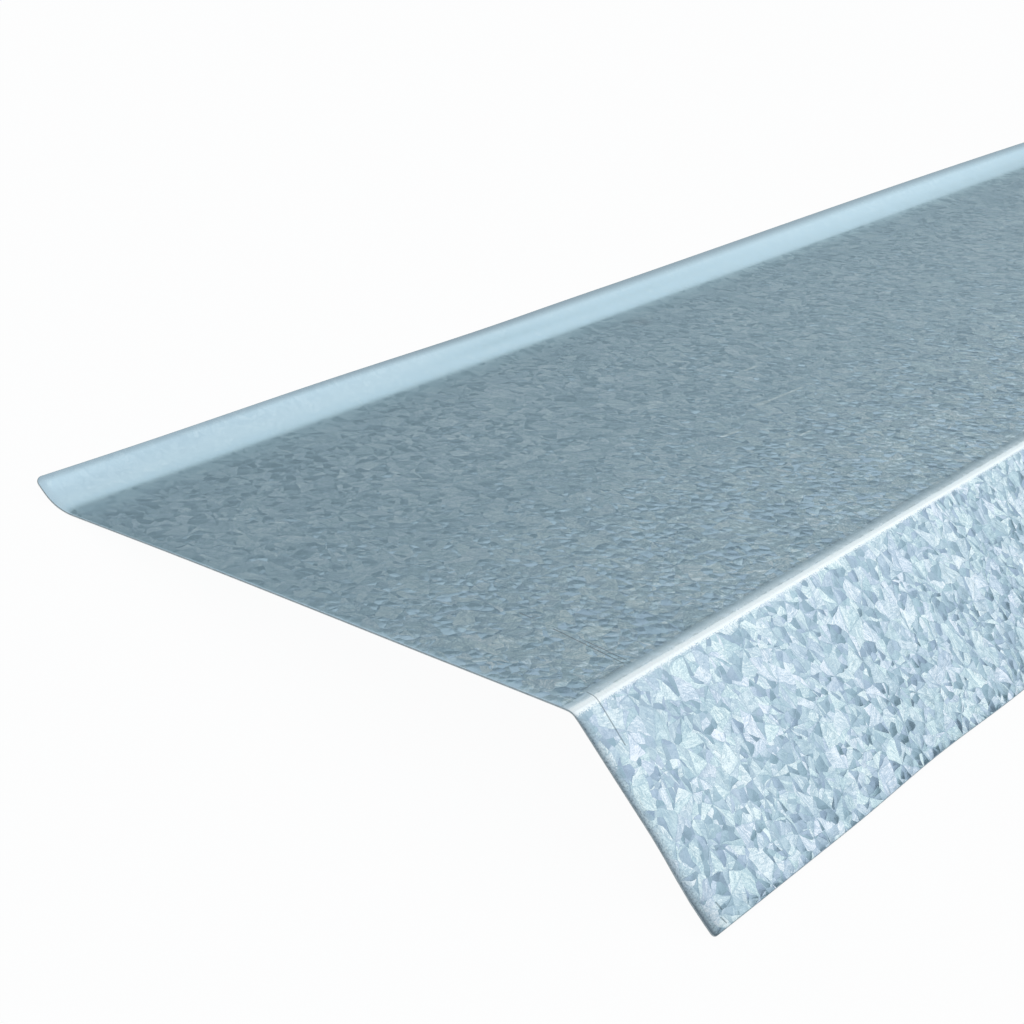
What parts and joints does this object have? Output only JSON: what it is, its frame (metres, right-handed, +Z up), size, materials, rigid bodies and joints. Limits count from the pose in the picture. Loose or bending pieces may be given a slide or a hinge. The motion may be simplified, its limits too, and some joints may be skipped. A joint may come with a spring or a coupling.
{
  "type": "flashing strip",
  "caption": "Galvanised steel eaves flashing strip: a wide flat web with a drip leg folded down along its front and a narrow water-check lip turned up along its back.",
  "frame": {"origin": "on the floor that the strip lies on, at the middle of its length and width", "axes": "+X along the strip, +Y from the drip leg towards the lip, +Z up"},
  "size_m": [1, 0.1972, 0.0282],
  "materials": {
    "galvanised_steel": "hot-dip galvanised, satin, with visible spangle"
  },
  "bodies": {
    "root": {"flashing_strip": "galvanised_steel"}
  },
  "joints": []
}
